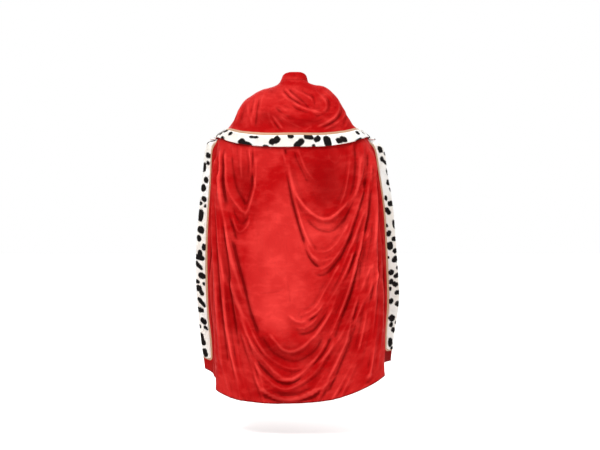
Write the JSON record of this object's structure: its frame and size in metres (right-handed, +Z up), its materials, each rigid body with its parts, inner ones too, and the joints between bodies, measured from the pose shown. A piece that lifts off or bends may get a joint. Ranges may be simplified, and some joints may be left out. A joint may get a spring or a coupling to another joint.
{
  "type": "king cape",
  "caption": "Full-length velvet king cape with a stand collar and a shoulder capelet, edged with spotted mock ermine and gold braid, in its hollow worn form with both arms held out.",
  "frame": {"origin": "the middle of the neckline, level with its middle back, where the wearer's neck and shoulders hold the cape", "axes": "+Z up, -Y towards the cape's open front, +Y towards its back, +X to the wearer's left"},
  "size_m": [0.916, 0.3313, 1.4253],
  "materials": {
    "velvet": "crushed panne velvet, bright red, with a soft streaky sheen; its plain wrong side is matt",
    "ermine": "short white plush with uneven black-brown spots",
    "braid": "flat woven braid in pale gold"
  },
  "bodies": {
    "root": {"cape_body": "velvet", "capelet": "velvet", "collar": "velvet", "throat_tab": "velvet", "front_ermine_left": "ermine", "front_ermine_right": "ermine", "capelet_ermine": "ermine", "front_braid_left": "braid", "front_braid_right": "braid", "capelet_braid": "braid"}
  },
  "joints": []
}
